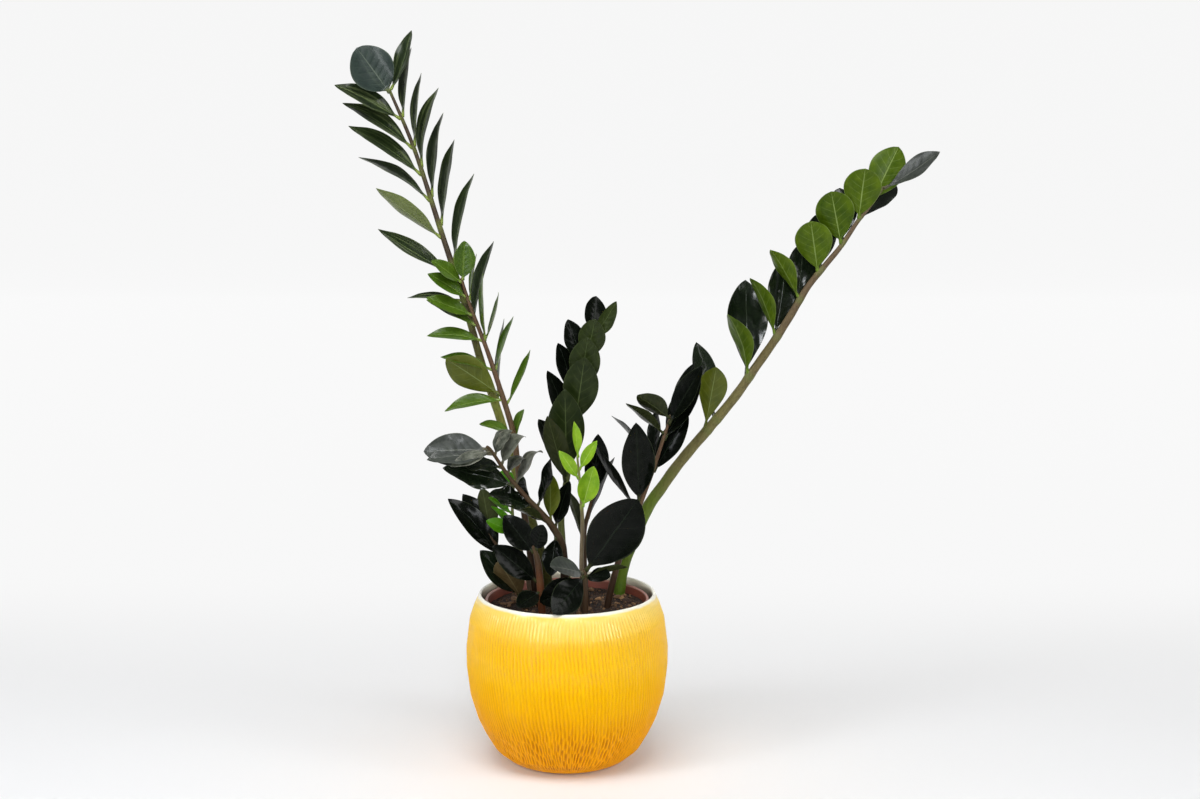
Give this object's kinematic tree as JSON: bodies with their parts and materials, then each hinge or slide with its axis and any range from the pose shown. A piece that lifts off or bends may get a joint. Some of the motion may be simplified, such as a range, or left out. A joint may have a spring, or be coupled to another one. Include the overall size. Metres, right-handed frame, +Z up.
{
  "type": "potted zz plant",
  "caption": "Potted ZZ plant with arching fronds of waxy dark leaves, in a plastic nursery pot inside a round carved yellow ceramic cover pot.",
  "frame": {"origin": "centre of the cover pot's flat foot, on the surface it stands on", "axes": "+Z up along the pot's axis; -Y is the front, and the long arching frond reaches out along +X"},
  "size_m": [0.5839, 0.2044, 0.7282],
  "materials": {
    "pot_glaze": "glossy transparent yellow glaze pooled in fine carved grooves, pale bare lip",
    "nursery_plastic": "satin terracotta plastic",
    "potting_soil": null,
    "stem_skin": "smooth satin plant skin, green with brown speckle",
    "dark_leaf": "waxy and very glossy, near-black green",
    "green_leaf": "waxy satin, mid green with a paler midrib",
    "young_leaf": "waxy, bright lime green"
  },
  "bodies": {
    "root": {"leaf_centre_back_1": "dark_leaf", "leaf_centre_back_2": "dark_leaf", "leaf_centre_back_3": "dark_leaf", "leaf_lime_shoot_1": "young_leaf", "leaf_lime_shoot_2": "young_leaf", "leaf_lime_shoot_3": "young_leaf", "leaf_lime_shoot_4": "young_leaf", "leaf_middle_tall_back_1": "dark_leaf", "leaf_middle_tall_back_2": "dark_leaf", "leaf_middle_tall_back_3": "dark_leaf", "leaf_middle_tall_back_4": "dark_leaf", "leaf_middle_tall_back_5": "dark_leaf", "leaf_middle_tall_back_6": "dark_leaf", "leaf_middle_tall_front_1": "green_leaf", "leaf_middle_tall_front_2": "green_leaf", "leaf_middle_tall_front_3": "green_leaf", "leaf_middle_tall_front_4": "green_leaf", "leaf_middle_tall_front_5": "green_leaf", "leaf_right_middle_1": "dark_leaf", "leaf_right_middle_10": "dark_leaf", "leaf_right_middle_2": "dark_leaf", "leaf_right_middle_3": "dark_leaf", "leaf_right_middle_4": "dark_leaf", "leaf_right_middle_5": "dark_leaf", "leaf_right_middle_6": "dark_leaf", "leaf_right_middle_7": "dark_leaf", "leaf_right_middle_8": "dark_leaf", "leaf_right_middle_9": "dark_leaf", "leaf_right_tall_back_1": "dark_leaf", "leaf_right_tall_back_2": "dark_leaf", "leaf_right_tall_back_3": "dark_leaf", "leaf_right_tall_back_4": "dark_leaf", "leaf_right_tall_back_5": "dark_leaf", "leaf_right_tall_back_6": "dark_leaf", "leaf_right_tall_back_7": "dark_leaf", "leaf_right_tall_front_1": "green_leaf", "leaf_right_tall_front_2": "green_leaf", "leaf_right_tall_front_3": "green_leaf", "leaf_right_tall_front_4": "green_leaf", "leaf_right_tall_front_5": "green_leaf", "leaf_right_tall_front_6": "green_leaf", "leaf_right_tall_front_7": "green_leaf", "leaf_right_tall_front_8": "green_leaf", "leaf_right_tall_tip": "dark_leaf", "nursery_pot": "nursery_plastic", "pot": "pot_glaze", "soil": "potting_soil", "stem_centre_back": "stem_skin", "stem_front_droop": "dark_leaf", "stem_front_low": "dark_leaf", "stem_left_low": "dark_leaf", "stem_left_short": "green_leaf", "stem_left_tall": "green_leaf", "stem_left_upright": "dark_leaf", "stem_lime_left": "young_leaf", "stem_lime_shoot": "stem_skin", "stem_middle_tall": "stem_skin", "stem_right_middle": "stem_skin", "stem_right_tall": "stem_skin"}
  },
  "joints": []
}
